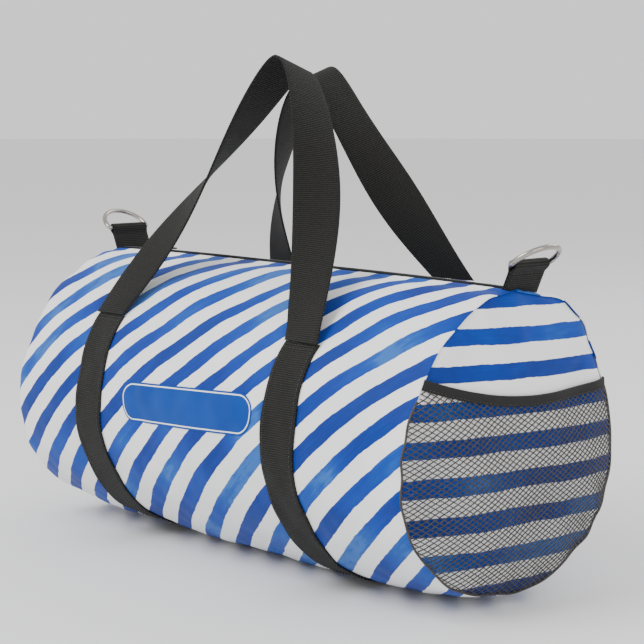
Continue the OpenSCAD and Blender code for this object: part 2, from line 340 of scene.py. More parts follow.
def add(tree, kind, sockets=None, **settings):
    """New node with its settings, and its inputs given as numbers or as links."""
    node = tree.nodes.new(kind)
    for key, value in settings.items():
        setattr(node, key, value)
    for key, value in (sockets or {}).items():
        if isinstance(value, bpy.types.NodeSocket):
            tree.links.new(value, node.inputs[key])
        else:
            node.inputs[key].default_value = value
    return node


def calc(tree, operation, first, second=0.0, third=0.0):
    """Result of one Math node."""
    return add(tree, "ShaderNodeMath", {0: first, 1: second, 2: third}, operation=operation).outputs[0]


def times(tree, first, second):
    """Product of two numbers or links."""
    return calc(tree, "MULTIPLY", first, second)


def mix(tree, share, first, second):
    """Colour between first and second."""
    return add(tree, "ShaderNodeMix", {0: share, 6: first, 7: second}, data_type="RGBA").outputs[2]


def span(tree, value, low, high, to_low=0.0, to_high=1.0):
    """Value carried smoothly from one range to another and held at its ends."""
    sockets = {"Value": value, "From Min": low, "From Max": high, "To Min": to_low, "To Max": to_high}
    return add(tree, "ShaderNodeMapRange", sockets, interpolation_type="SMOOTHSTEP").outputs[0]


def texture(tree, place, scale, detail):
    """Noise over the points of place."""
    return add(tree, "ShaderNodeTexNoise", {"Vector": place, "Scale": scale, "Detail": detail}).outputs[0]


def group(name, inputs, outputs):
    """Empty node group with named sockets. Returns the group, its input node and a way to set outputs."""
    tree = bpy.data.node_groups.new(name, "ShaderNodeTree")
    for key, kind, value in inputs:
        socket = tree.interface.new_socket(key, in_out="INPUT", socket_type=kind)
        if value is not None:
            socket.default_value = value
    for key in outputs:
        tree.interface.new_socket(key, in_out="OUTPUT", socket_type="NodeSocketFloat")
    return tree, tree.nodes.new("NodeGroupInput"), tree.nodes.new("NodeGroupOutput")


def brush_group():
    """Hand-painted stripes. Cloth carries lengths along a stripe and stripe counts across, blue at whole
    numbers. Each stripe wanders, widens and thins by its own noise, and its wash varies in long strokes."""
    inputs = [("Cloth", "NodeSocketVector", None), ("Share", "NodeSocketFloat", 0.46)]
    tree, given, out = group("painted stripes", inputs, ["Paint", "Wash"])
    parts = add(tree, "ShaderNodeSeparateXYZ", {0: given.outputs["Cloth"]})
    along, phase = parts.outputs[0], parts.outputs[1]
    line = calc(tree, "ROUND", phase)

    def strokes(rate, count, step, detail=2.0, third=0.0):
        """Noise about zero, at one rate along the stripes and by steps of a count across them."""
        sockets = {0: times(tree, along, rate), 1: times(tree, count, step), 2: third}
        point = add(tree, "ShaderNodeCombineXYZ", sockets).outputs[0]
        return calc(tree, "SUBTRACT", texture(tree, point, 1.0, detail), 0.5)

    moved = calc(tree, "MULTIPLY_ADD", strokes(0.55, line, 7.3), 0.1, phase)
    edge = strokes(4.5, phase, 4.5, detail=3.0)
    away = calc(tree, "MULTIPLY_ADD", edge, 0.05, calc(tree, "PINGPONG", moved, 0.5))
    width = strokes(0.45, line, 4.7, third=9.0)
    half = calc(tree, "MULTIPLY_ADD", width, 0.11, times(tree, given.outputs["Share"], 0.5))
    paint = span(tree, calc(tree, "SUBTRACT", away, half), -0.009, 0.009, 1.0, 0.0)
    tree.links.new(paint, out.inputs["Paint"])
    wash = span(tree, strokes(0.28, line, 3.9, detail=1.0, third=4.0), -0.14, 0.18)
    wash = calc(tree, "MULTIPLY_ADD", strokes(1.6, phase, 3.5, detail=4.0, third=2.0), 0.7, wash)
    wash = calc(tree, "MULTIPLY_ADD", strokes(0.7, phase, 14.0, detail=3.0, third=6.0), 0.45, wash)
    tree.links.new(calc(tree, "MINIMUM", calc(tree, "MAXIMUM", wash, 0.0), 1.0), out.inputs["Wash"])
    return tree


def weave_group():
    """Plain weave over a UV in metres: threads of one pitch both ways, over and under by turns."""
    inputs = [("Cloth", "NodeSocketVector", None), ("Pitch", "NodeSocketFloat", 0.8)]
    tree, given, out = group("plain weave", inputs, ["Height", "Fibre"])
    parts = add(tree, "ShaderNodeSeparateXYZ", {0: given.outputs["Cloth"]})
    scale = calc(tree, "DIVIDE", 1000 * math.pi, given.outputs["Pitch"])
    one = calc(tree, "SINE", times(tree, parts.outputs[0], scale))
    two = calc(tree, "SINE", times(tree, parts.outputs[1], scale))
    high = calc(tree, "MULTIPLY_ADD", times(tree, one, two), 0.5, 0.5)
    tree.links.new(high, out.inputs["Height"])
    tree.links.new(texture(tree, given.outputs["Cloth"], 900.0, 3.0), out.inputs["Fibre"])
    return tree


brush = brush_group()
weave = weave_group()


def finish(name, colour, roughness, bump=None, strength=0.3, distance=0.0003, **constants):
    """Material of one Principled shader. colour, roughness and bump are numbers or makers of a socket."""
    material = bpy.data.materials.new(name)
    material.use_nodes = True
    tree = material.node_tree
    shader = tree.nodes["Principled BSDF"]
    for key, value in (("Base Color", colour), ("Roughness", roughness)):
        value = value(tree) if callable(value) else value
        if isinstance(value, bpy.types.NodeSocket):
            tree.links.new(value, shader.inputs[key])
        else:
            shader.inputs[key].default_value = value
    if bump is not None:
        sockets = {"Height": bump(tree), "Strength": strength, "Distance": distance}
        tree.links.new(add(tree, "ShaderNodeBump", sockets).outputs[0], shader.inputs["Normal"])
    for key, value in constants.items():
        shader.inputs[key.replace("_", " ")].default_value = value
    return material


def cloth_uv(tree):
    """The piece's own UV map."""
    return add(tree, "ShaderNodeUVMap", uv_map="cloth").outputs[0]


def object_noise(tree, scale, detail=3.0):
    """Noise fixed in the object's own space."""
    return texture(tree, add(tree, "ShaderNodeTexCoord").outputs["Object"], scale, detail)


def mottle(tree, scale):
    """Share from 0 to 1 that varies softly over the object."""
    return span(tree, object_noise(tree, scale), 0.3, 0.7)


def woven(tree, pitch, place=None):
    """Plain weave of one pitch in mm over place, or over the piece's own UV in metres."""
    sockets = {"Cloth": cloth_uv(tree) if place is None else place, "Pitch": pitch}
    return add(tree, "ShaderNodeGroup", sockets, node_tree=weave)


def striped_finish(name, share):
    """Off-white canvas with painted blue stripes that follow the UV map."""
    def colour(tree):
        painted = add(tree, "ShaderNodeGroup", node_tree=brush)
        tree.links.new(cloth_uv(tree), painted.inputs["Cloth"])
        painted.inputs["Share"].default_value = share
        blue = add(tree, "ShaderNodeValToRGB", {0: painted.outputs["Wash"]})
        ramp = blue.color_ramp
        ramp.elements[0].color = srgb(0, 46, 132)
        ramp.elements[1].color = srgb(46, 100, 176)
        for place, tint in ((0.3, srgb(0, 54, 150)), (0.66, srgb(0, 66, 160)), (0.88, srgb(16, 80, 166))):
            ramp.elements.new(place).color = tint
        ground = mix(tree, mottle(tree, 9.0), srgb(246, 246, 245), srgb(238, 239, 240))
        return mix(tree, painted.outputs["Paint"], ground, blue.outputs[0])

    def height(tree):
        sockets = {0: cloth_uv(tree), 1: (stripe_period / 1000,) * 3}
        metres = add(tree, "ShaderNodeVectorMath", sockets, operation="MULTIPLY").outputs[0]
        threads = woven(tree, 0.9, metres).outputs["Height"]
        return calc(tree, "MULTIPLY_ADD", object_noise(tree, 420.0), 1.2, threads)

    return finish(name, colour, 0.62, height, 0.22, 0.00012, Sheen_Weight=0.03, Specular_IOR_Level=0.2)


def woven_finish(name, dark, light, pitch):
    """Woven tape or lining in two close tones of one colour: the lighter tone is a painted highlight on the
    raised threads, varied by random fibre noise.
    """
    def colour(tree):
        cloth = woven(tree, pitch).outputs
        # painted highlight: lighter where the weave stands highest, times random fibre noise
        share = times(tree, cloth["Height"], cloth["Fibre"])
        return mix(tree, span(tree, share, 0.05, 0.6), dark, light)

    return finish(name, colour, 0.8, lambda tree: woven(tree, pitch).outputs["Height"], 0.5, 0.0002)


def webbing_finish():
    """Charcoal webbing: a rib each pitch, the crown of each rib broken into dotted yarns, fibre fluff. The
    dots on the crowns are a painted highlight, lighter where the ribs catch the light.
    """
    def dots(tree):
        parts = add(tree, "ShaderNodeSeparateXYZ", {0: cloth_uv(tree)})
        row = calc(tree, "DIVIDE", parts.outputs[1], rib_pitch / 1000)
        shift = times(tree, calc(tree, "MODULO", calc(tree, "FLOOR", row), 2.0), 0.5)
        yarn = calc(tree, "ADD", calc(tree, "DIVIDE", parts.outputs[0], 0.00135), shift)
        crown = calc(tree, "SINE", times(tree, calc(tree, "FRACT", row), math.pi))
        dot = calc(tree, "ABSOLUTE", calc(tree, "SINE", times(tree, yarn, math.pi)))
        return crown, dot

    def colour(tree):
        crown, dot = dots(tree)
        # painted highlight: the rib crowns' dots are made lighter where the ribs catch the light, varied at
        # random by noise
        light = times(tree, calc(tree, "POWER", crown, 2.0), calc(tree, "POWER", dot, 1.3))
        light = times(tree, light, span(tree, object_noise(tree, 700.0), 0.25, 0.7, 0.45, 1.0))
        # near black between the ribs, painted highlight tone on the crowns
        return mix(tree, light, srgb(2, 2, 2), srgb(54, 53, 49))

    def height(tree):
        crown, dot = dots(tree)
        return calc(tree, "MULTIPLY_ADD", object_noise(tree, 1500.0), 0.4, times(tree, crown, dot))

    return finish("webbing", colour, 0.72, height, 0.7, 0.0004, Sheen_Weight=0.04, Specular_IOR_Level=0.22)


def metal_finish(name, colour, rough):
    """Plated metal with faint wiping marks and duller, slightly darker patches."""
    def tone(tree):
        darker = tuple(0.8 * part for part in colour[:3]) + (1,)
        return mix(tree, span(tree, object_noise(tree, 60.0, 5.0), 0.3, 0.75), colour, darker)

    def gloss(tree):
        return span(tree, object_noise(tree, 180.0, 6.0), 0.3, 0.75, rough, rough + 0.16)

    return finish(name, tone, gloss, lambda tree: object_noise(tree, 900.0), 0.05, 0.0001, Metallic=1.0)


def plastic_finish(name, dark, light, rough):
    """Moulded or spun plastic with a faint mottle."""
    def tone(tree):
        return mix(tree, mottle(tree, 500.0), dark, light)

    return finish(name, tone, rough, lambda tree: object_noise(tree, 1800.0), 0.2, 0.0001)


def label_finish():
    """Printed badge: mid blue with a thin white line a little inside its edge, by edge_gap in mm."""
    def colour(tree):
        gap = add(tree, "ShaderNodeAttribute", attribute_name="edge_gap").outputs["Fac"]
        line = times(tree, span(tree, gap, 1.35, 1.6), span(tree, gap, 2.35, 2.6, 1.0, 0.0))
        blue = mix(tree, mottle(tree, 40.0), srgb(0, 60, 144), srgb(0, 66, 152))
        return mix(tree, line, blue, srgb(244, 246, 248))

    return finish("label_print", colour, 0.45, lambda tree: object_noise(tree, 800.0), 0.1, 0.0001,
                  Specular_IOR_Level=0.15)


striped_body = striped_finish("striped_fabric", 0.49)
striped_end = striped_finish("striped_end_fabric", 0.47)
lining = woven_finish("lining_fabric", srgb(120, 122, 126), srgb(158, 160, 164), 0.7)
binding = woven_finish("binding_tape", srgb(20, 20, 21), srgb(54, 54, 55), 0.9)
tape = woven_finish("zip_tape", srgb(8, 8, 9), srgb(32, 32, 34), 0.7)
webbing = webbing_finish()
elastic = woven_finish("elastic_binding", srgb(7, 7, 7), srgb(26, 26, 25), 0.8)
nickel = metal_finish("ring_metal", srgb(172, 166, 160), 0.14)
gunmetal = metal_finish("zip_metal", srgb(70, 70, 72), 0.3)
coil_plastic = plastic_finish("zip_coil", srgb(14, 14, 15), srgb(30, 30, 32), 0.4)
net_yarn = plastic_finish("pocket_net", srgb(40, 36, 36), srgb(70, 64, 62), 0.6)
label_print = label_finish()
dark_thread = plastic_finish("dark_thread", srgb(20, 20, 20), srgb(56, 55, 52), 0.55)
pale_thread = plastic_finish("pale_thread", srgb(222, 223, 224), srgb(246, 246, 246), 0.6)


# ---------------- body

def stripe_place(x, turn):
    """UV of the barrel's painted cloth: run along the slanted stripes, and count of stripes across them.
    The cloth is drawn up beside the zip and at the left end, and eased over the badge, so the count bends
    there by a power of the angle past 35 degrees, a product of distance and angle, and a soft bump."""
    round_side = mean_radius * turn
    slant = np.radians(stripe_slant - 0.003 * x)
    along = (np.cos(slant) * x + np.sin(slant) * round_side) / stripe_period
    count = (-np.sin(slant) * x + np.cos(slant) * round_side - 5.5) / stripe_period
    front, rear = np.maximum(turn - math.radians(35), 0), np.maximum(math.radians(-215) - turn, 0)
    count = count + 1.25 * (rear ** 1.5 - front ** 1.5)
    count = count - 1.25 * np.maximum(-x - 150, 0) / 250 * np.maximum(turn, 0)
    return stack(along, count + 0.18 * hill(x, 50, 75) * hill(turn, 0.4, 0.35))


def side_grid(rows, columns, gap, lift_edge):
    """Grid over the barrel from the zip's rear edge down, under and up to its front edge, each gap mm from
    the middle. The last 9 mm lift by lift_edge for the folded hem, and the fold itself rolls under."""
    x = np.linspace(-half_length, half_length, rows)[:, None]
    edge = math.asin(gap / (mid_wide * 0.97))
    start, stop = -1.5 * math.pi + edge, 0.5 * math.pi - edge
    turn = start + (stop - start) * np.linspace(0, 1, columns)[None]
    to_edge = np.minimum(turn - start, stop - turn) * mid_wide
    hem = lift_edge * ease((9 - to_edge) / 3) * (np.sqrt(np.clip(to_edge / 1.2, 0, 1)) - 0.4)
    return x, turn, hem


def body_cloth():
    """Barrel cloth in one run from zip edge to zip edge, as a thin solid."""
    x, turn, hem = side_grid(170, 262, zip_slot / 2, 1.0)
    outer, inner = skin(x, turn, hem), skin(x, turn, -cloth_thick)
    piece = slab("body_cloth", outer, inner, striped_body, stripe_place(x, turn))
    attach(piece, "bag")
    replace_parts(piece, "body_panel")
    return piece


def body_lining():
    """Lining of the barrel, a little inside the cloth."""
    x, turn, _ = side_grid(64, 96, 14.0, 0.0)
    uv = stack(x, mean_radius * turn) / 1000
    piece = slab("body_lining_cloth", skin(0.98 * x, turn, -2.2), skin(0.98 * x, turn, -3.0), lining, uv)
    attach(piece, "bag")
    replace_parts(piece, "body_lining")
    return piece


# ---------------- ends

def seam_line(side):
    """Outline of the end seam: headings from its centre, and the seam's radius at each."""
    edge = skin(side * half_length, np.linspace(-math.pi, math.pi, 721))
    y, z = edge[:, 1], edge[:, 2] - end_centre
    return np.unwrap(np.arctan2(z, -y)), np.hypot(y, z)


seams = {side: seam_line(side) for side in (-1, 1)}


def end_share(side, y, z):
    """Share of the way from the centre to the end seam of a point y, z."""
    at = np.arctan2(z - end_centre, -y)
    return np.hypot(y, z - end_centre) / np.interp(at, *seams[side], period=2 * math.pi)


def end_surface(side, y, z, proud=0.0):
    """Outside of the filled end at y, z: a low crown that falls off with the square of the share, drawn in
    at the seam with short fanning folds, and proud mm further out."""
    share = end_share(side, y, z)
    at = np.arctan2(z - end_centre, -y)
    crown = end_bulge * (1 - share ** 2.2)
    rim_gap = np.maximum(1 - share, 0) * end_radius
    fold = 0.9 * np.exp(-rim_gap / 26) * np.sin(17 * at + 1.2 * np.sin(4 * at)) * ease(rim_gap / 4)
    uneven = 0.9 * ripple(y, z, 11 + side, 60, 150) * ease(rim_gap / 25)
    tuck = -2.2 * np.exp(-rim_gap / 3)
    return stack(side * (half_length + crown + fold + uneven + tuck + proud), y, z)


def disc_grid(side, count, reach=1.0):
    """Square grid spread over the end's outline: the square is mapped to a disc without a pole, and each
    point goes reach times as far as the seam lies in its heading. Returns y and z."""
    u, v = np.meshgrid(np.linspace(-1, 1, count), np.linspace(-1, 1, count), indexing="ij")
    across, up = u * np.sqrt(1 - v * v / 2), v * np.sqrt(1 - u * u / 2)
    far = np.interp(np.arctan2(up, across * side), *seams[side], period=2 * math.pi)
    return -across * far * reach * side, end_centre + up * far * reach


def end_stripes(side, y, z):
    """UV of the painted end cloth: nearly level stripes, a little closer together towards the top."""
    above = z - axis_height + y * 0.029 * side - 7.0
    period = 27.75 - 1.25 * np.tanh(above / 15)
    return stack(y / stripe_period, above / period)


def end_cloth(side, name, node):
    """Crowned end panel as a thin solid."""
    y, z = disc_grid(side, 132)
    outer = end_surface(side, y, z)
    inner = outer - np.array([side * cloth_thick, 0, 0])
    if side > 0:
        outer, inner = outer[:, ::-1], inner[:, ::-1]
        y, z = y[:, ::-1], z[:, ::-1]
    piece = slab(name, outer, inner, striped_end, end_stripes(side, y, z))
    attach(piece, "bag")
    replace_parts(piece, node)
    return piece


for side, word in ((-1, "left"), (1, "right")):
    end_cloth(side, f"end_cloth_{word}", f"end_panel_{word}")
body_cloth()
body_lining()


# ---------------- belly bands and handles

def drape(spots, middle):
    """Spots of webbing laid round the barrel at x = middle, each moved in or out with the cloth under it."""
    turn = np.arctan2(spots[:, 2] - axis_height, -spots[:, 1])
    change = skin(spots[:, 0], turn) - skin(middle, turn)
    return spots + change * [0.0, 1.0, 1.0]


def belly_band(side, word):
    """Webbing sewn round the barrel from the front anchor down, under and up to the rear anchor."""
    turn = np.radians(np.linspace(anchor, -180 - anchor, 900))
    x = side * band_x
    path = skin(x, turn, band_middle)
    up = unit(skin(x, turn, 1.5) - skin(x, turn, 0.5))
    across = np.tile([-1.0, 0, 0], (len(turn), 1))
    piece = ribbed(path, across, up, f"band_webbing_{word}")
    spots = np.array([vertex.co for vertex in piece.data.vertices]) * 1000
    piece.data.vertices.foreach_set("co", (drape(spots, x) / 1000).ravel())
    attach(piece, "bag")
    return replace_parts(piece, f"belly_band_{word}")


def loop_line(a, height, bow, off, draw):
    """Handle loop in its own upright plane: each side by its own rounded power of the cosine, rise by a
    power of the sine, a bow towards the bag that is most at half height, and a top off mm to one side."""
    cos, sin = np.cos(a), np.maximum(np.sin(a), 0)
    soft = 0.42
    power = np.where(a < math.pi / 2, draw[0], draw[1])
    x = -band_x * cos * ((cos ** 2 + soft ** 2) / (1 + soft ** 2)) ** ((power - 1) / 2)
    rise = sin ** 1.82
    return stack(x + off * ease(rise), bow * np.sin(math.pi * rise), height * rise)


def handle(name, node, front, height, lean, bow, off, draw, left_twist, right_twist):
    """Webbing loop from anchor to anchor: it starts flat on the bag, leans in over the top, and each leg
    turns a quarter about its own line, so that it lies flat to the hand on top. The same face, towards
    the front at the anchors, ends up outside on both loops."""
    a = np.linspace(0, math.pi, 1400)
    line = loop_line(a, height, bow, off, draw)
    heading = ahead(line)
    outward = unit(np.cross(heading, [0.0, 1.0, 0.0]))
    face = unit(np.cross(outward, heading))
    rise = line[:, 2] / height
    start, reach = [np.where(a < math.pi / 2, left_twist[k], right_twist[k]) for k in (0, 1)]
    turn = (math.pi / 2 * ease((rise - start) / reach))[:, None]
    up = np.cos(turn) * face - (1 if front else -1) * np.sin(turn) * outward
    square = ease(rise / 0.15)[:, None]
    level = -np.sign(np.cos(a))[:, None] * np.array([1.0, 0, 0])
    across = unit(square * np.cross(heading, up) + (1 - square) * level)
    up = unit(np.cross(across, heading))
    tilt = math.radians(-lean)
    turned = np.array([[1, 0, 0], [0, math.cos(tilt), -math.sin(tilt)], [0, math.sin(tilt), math.cos(tilt)]])
    path = line @ turned.T + handle_foot
    across, up = across @ turned.T, up @ turned.T
    if not front:
        path, across, up = [v * [1, -1, 1] for v in (path, across, up)]
        across = -across
    piece = ribbed(path, across, up, name, thick=1.9)
    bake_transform(piece)
    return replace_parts(piece, node)


for side, word in ((-1, "left"), (1, "right")):
    belly_band(side, word)
handle("front_handle_webbing", "handle_front", True, height=231, lean=23, bow=8.5, off=9,
       draw=(1.75, 1.6), left_twist=(0.2, 0.84), right_twist=(-0.05, 1.15))
handle("rear_handle_webbing", "handle_rear", False, height=217, lean=19.5, bow=12, off=-4,
       draw=(1.54, 1.8), left_twist=(0.05, 0.9), right_twist=(0.1, 0.8))


# ---------------- zip

def zip_height(x):
    """Top of the cloth over the zip."""
    return skin(x, math.pi / 2)[..., 2]


def zip_tape(sign, word):
    """Woven tape under one folded cloth edge, from beside the coil outwards."""
    x = np.linspace(-zip_run, zip_run, 90)[:, None]
    gap = np.linspace(2.6, 16, 8)[None]
    turn = math.pi / 2 - np.arcsin(gap / mid_wide)
    under = 0.7 * ease((8 - gap) / 6)
    top, low = skin(x, turn, -1.0 - under), skin(x, turn, -1.7 - under)
    if sign > 0:
        top, low = [v[::-1] * [1, -1, 1] for v in (top, low)]
    piece = slab(f"zip_tape_{word}", top[:, ::-1], low[:, ::-1], tape, stack(x, gap)[:, ::-1] / 1000)
    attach(piece, "bag")
    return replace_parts(piece, f"zipper_tape_{word}")


def zip_coil(sign, word):
    """Spiral of fine wire beside the middle line, one turn each 2 mm, flattened to an oval."""
    turns = int(zip_run)
    t = np.linspace(0, turns, turns * 9)
    x = -zip_run + 2 * t + (1 if sign > 0 else 0)
    angle = 2 * math.pi * t
    y = sign * (1.55 + 1.35 * np.cos(angle))
    z = zip_height(x) + 0.1 + 0.75 * np.sin(angle)
    path = stack(x, y, z)
    heading = ahead(path)
    up = unit(np.cross(heading, [1.0, 0, 0.02]))
    across = unit(np.cross(up, heading))
    piece = sweep(f"zip_coil_{word}", path, across, up, tube_profile(0.36, 5), coil_plastic)
    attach(piece, "bag")
    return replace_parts(piece, f"zipper_coil_{word}")


for sign, word in ((-1, "front"), (1, "rear")):
    zip_tape(sign, word)
    zip_coil(sign, word)


def squared(value, power):
    """Sine or cosine made into a superellipse's: power 2 keeps the circle, more squares its corners."""
    return np.sign(value) * np.abs(value) ** (2 / power)


def pebble(name, centre, half, power, taper=0.0):
    """Rounded metal block: a superellipsoid, wider towards +X by taper."""
    rows, columns = 19, 36
    up = np.radians(np.linspace(-88, 88, rows))[:, None]
    turn = around(columns)[None]
    x = squared(np.cos(up), power) * squared(np.cos(turn), power)
    y = squared(np.cos(up), power) * squared(np.sin(turn), power) * (1 + taper * x)
    points = stack(x, y, squared(np.sin(up), power)) * half + centre
    low = np.arange(columns)[None]
    faces = [quads(rows, columns, False, True)[:, ::-1], low[:, ::-1], low + (rows - 1) * columns]
    return mesh_piece(name, points, faces, gunmetal, sharp=40)


def outline(centre, half, power):
    """Superellipse of 72 points in the level plane."""
    turn = around(72)
    return stack(squared(np.cos(turn), power), squared(np.sin(turn), power)) * half + centre


def washer(name, plate, hole, height):
    """Flat metal plate with a hole, each given as centre, half sizes and power. Rows run from the hole's
    outline to the plate's, and the first and last are rounded off."""
    thick = 1.3
    share = np.array([0, 0.12, 0.5, 0.88, 1])[:, None, None]
    flat = (1 - share) * outline(*hole) + share * outline(*plate)
    half = thick * np.array([0.15, 0.5, 0.5, 0.5, 0.15])[:, None]
    top, low = [stack(flat[..., 0], flat[..., 1], height + sign * half) for sign in (1, -1)]
    return slab(name, top, low, gunmetal, loop=True)


def zip_slider():
    """Slider body: an upper and a lower plate, wider at the nose, a post between them and an arched crown."""
    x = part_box("zipper_slider")[0][0] * 1000 + 5.5
    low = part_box("zipper_slider")[0][2] * 1000
    parts = [
        pebble("slider_top", (x, 0, low + 5.2), (5.5, 4.0, 0.75), 5, taper=0.1),
        pebble("slider_base", (x, 0, low + 0.7), (5.5, 4.0, 0.7), 5, taper=0.1),
        pebble("slider_post", (x + 3.4, 0, low + 3.0), (1.6, 0.5, 2.6), 4),
    ]
    arch = np.linspace(0, math.pi, 30)
    path = stack(x + 3.6 * np.cos(arch), 0 * arch, low + 5.4 + 2.5 * np.sin(arch))
    up = unit(stack(np.cos(arch), 0 * arch, 1.3 * np.sin(arch)))
    across = unit(np.cross(ahead(path), up))
    parts.append(sweep("slider_crown", path, across, up, flat_profile(2.0, 0.9, 5), gunmetal))
    piece = join("zip_slider_body", *parts)
    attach(piece, "slider")
    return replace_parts(piece, "zipper_slider")


def zip_pull():
    """Flat puller: a fork round the crown, a pin, and a plate with a round eye."""
    x, z = [joint["pull_flip"]["pos_m"][k] * 1000 for k in (0, 2)]
    parts = [
        washer("pull_fork", ((x + 5.5, 0), (6.4, 3.05), 5), ((x + 5.2, 0), (4.4, 1.75), 4), z),
        washer("pull_plate", ((x + 18.6, 0), (7.9, 3.05), 4), ((x + 22.6, 0), (1.5, 1.5), 2), z),
        pebble("pull_pin", (x, 0, z), (0.8, 3.0, 0.8), 3),
    ]
    piece = join("zip_puller", *parts)
    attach(piece, "pull")
    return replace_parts(piece, "zipper_pull")


zip_slider()
zip_pull()


# ---------------- ring tabs and rings

def ring_tab(side, word):
    """Webbing folded over the ring's bar: up from the seam, half round the bar, and down again beside
    itself, both layers sewn together under the fold."""
    spot = joint[f"{word}_ring_swing"]["pos_m"]
    pivot = np.array([abs(spot[0]), spot[1], spot[2]]) * 1000
    lean = math.radians(25)
    rise, out = np.array([math.sin(lean), 0, math.cos(lean)]), np.array([math.cos(lean), 0, -math.sin(lean)])
    reach, bow = 25.0, ring_wire + 0.3 + web_thick / 2
    s = np.linspace(0, reach, 60)
    beside = 0.85 + (bow - 0.85) * ease((s - reach + 7) / 7)
    bend = np.linspace(math.pi, 0, 40)[1:-1]
    back = (s - reach)[:, None] * rise - beside[:, None] * out
    front = (s - reach)[::-1, None] * rise + beside[::-1, None] * out
    fold = bow * (np.cos(bend)[:, None] * out + np.sin(bend)[:, None] * rise)
    path = (np.concatenate([back, fold, front]) + pivot) * [side, 1, 1]
    heading = ahead(path)
    level = np.tile([0, -1.0 * side, 0], (len(path), 1))
    up = unit(np.cross(level, heading))
    piece = ribbed(path, level, up, f"tab_webbing_{word}")
    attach(piece, "bag")
    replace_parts(piece, f"ring_tab_{word}")
    rows = []
    outer = (pivot + 1.85 * out) * [side, 1, 1]
    rise, out = rise * [side, 1, 1], out * [side, 1, 1]
    lines = [(f"tab_row_{word}_{k}", (-17.0, 17.0), (down, down)) for k, down in enumerate((6.3, 8.6))]
    lines += [(f"tab_edge_{word}_{k}", (edge, edge), (9.5, 20.0)) for k, edge in enumerate((-16.2, 16.2))]
    for name, level, down in lines:
        ends = outer + stack(0, level, 0) - np.array(down)[:, None] * rise
        rows.append(stitches(name, ends, np.tile(out, (2, 1)), dark_thread))
    thread = join(f"tab_thread_{word}", *rows)
    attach(thread, "bag")


def strap_ring(side, word):
    """Wire ring: a straight bar, two short sides and a half circle, with softened corners."""
    pivot = np.array(joint[f"{word}_ring_swing"]["pos_m"]) * 1000
    rise = math.radians(34)
    out = np.array([side * math.cos(rise), 0, math.sin(rise)])
    half, straight, corner = 21.5, 4.0, 3.0
    turn = np.radians(np.linspace(-90, 90, 90))
    arc = np.stack([straight + half * np.cos(turn), half * np.sin(turn)], -1)
    bar = np.stack([np.zeros(40), np.linspace(half - corner, -half + corner, 40)], -1)
    first = np.radians(np.linspace(180, 270, 12))
    low = np.stack([corner + corner * np.cos(first), -half + corner + corner * np.sin(first)], -1)
    top = np.stack([low[::-1, 0], -low[::-1, 1]], -1)
    flat = np.concatenate([bar, low[1:], arc, top[:-1]])
    path = pivot + flat[:, :1] * out + flat[:, 1:] * np.array([0, 1.0, 0])
    path = even(220, np.concatenate([path, path[:1]]))[1][:-1]
    heading = ahead(path, loop=True)
    up = np.tile(unit(np.cross(out, [0, 1.0, 0])), (len(path), 1))
    piece = sweep(f"strap_ring_{word}", path, np.cross(heading, up), up, tube_profile(ring_wire, 18), nickel,
                  loop=True, sharp=80)
    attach(piece, f"ring_{word}")
    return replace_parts(piece, f"d_ring_{word}")


for side, word in ((-1, "left"), (1, "right")):
    ring_tab(side, word)
    strap_ring(side, word)


# ---------------- net pocket on the right end

binding_wide = 8.0
net_wide, net_high = 6.8, 4.2          # one mesh of the net, corner to corner


def mouth(y):
    """Height of the pocket's mouth at y: two half parabolas that meet at its lowest point, the front one
    climbing much faster."""
    return axis_height + 41.0 + np.where(y < 15, 0.0017, 0.0004) * (y - 15) ** 2


def pocket_proud(y, z):
    """How far the net stands off the end cloth: close at the seam and the mouth, loose between, with soft
    gathers fanning up from its lower rear corner."""
    share = end_share(1, y, z)
    below = np.maximum(mouth(y) - z, 0)
    full = 1.7 + 4.2 * ease(below / 70) * (1 - np.minimum(share, 1) ** 5)
    corner = hill(y, 88, 48) * hill(z, 50, 48)
    fan = np.sin(9 * np.arctan2(z - 30, y - 118) + 0.5)
    return full + 1.5 * fan * corner * ease((1 - share) * 8)


def inside_run(inside, values):
    """First and last of values for which each row of inside is true."""
    first = np.argmax(inside, axis=1)
    last = inside.shape[1] - 1 - np.argmax(inside[:, ::-1], axis=1)
    return values[first], values[last]


def net_strands(lean):
    """Paths of one family of strands, on which y / net_wide + lean * z / net_high is a whole number, cut
    off at the seam and the mouth. They pass over and under the other family by a small sine."""
    steps = 46
    count = np.arange(-60, 61)[:, None]
    y = np.linspace(-130, 130, 900)[None]
    z = axis_height + lean * net_high * (count - y / net_wide)
    inside = (end_share(1, y + 0 * z, z) < 0.992) & (z < mouth(y) - 2)
    keep = inside.sum(axis=1) > 12
    start, stop = inside_run(inside[keep], y[0])
    share = np.linspace(0, 1, steps)[None]
    y = start[:, None] * (1 - share) + stop[:, None] * share
    z = axis_height + lean * net_high * (count[keep] - y / net_wide)
    other = y / net_wide - lean * (z - axis_height) / net_high
    proud = pocket_proud(y, z) + 0.2 * lean * np.sin(math.pi * other)
    return end_surface(1, y, z, proud)


def net_pocket():
    """Knotted net: two slanting families of fine strands, each a four-sided tube along its path."""
    paths = np.concatenate([net_strands(1), net_strands(-1)])
    strands, steps = paths.shape[:2]
    heading = ahead(paths)
    across = unit(np.cross(heading, [1.0, 0, 0]))
    up = unit(np.cross(across, heading))
    turn = around(4)[:, None] + math.pi / 4
    radius = 0.47
    ring = across[:, :, None] * np.cos(turn) + up[:, :, None] * np.sin(turn)
    points = paths[:, :, None] + radius * ring
    caps = [[0, 3, 2, 1], [4 * (steps - 1) + k for k in range(4)]]
    one = np.concatenate([quads(steps, 4, False, True), caps])
    faces = one[None, :, ::-1] + 4 * steps * np.arange(strands)[:, None, None]
    piece = mesh_piece("net_pocket", points, [faces.reshape(-1, 4)], net_yarn, sharp=80)
    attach(piece, "bag")
    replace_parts(piece, "mesh_pocket")
    return piece


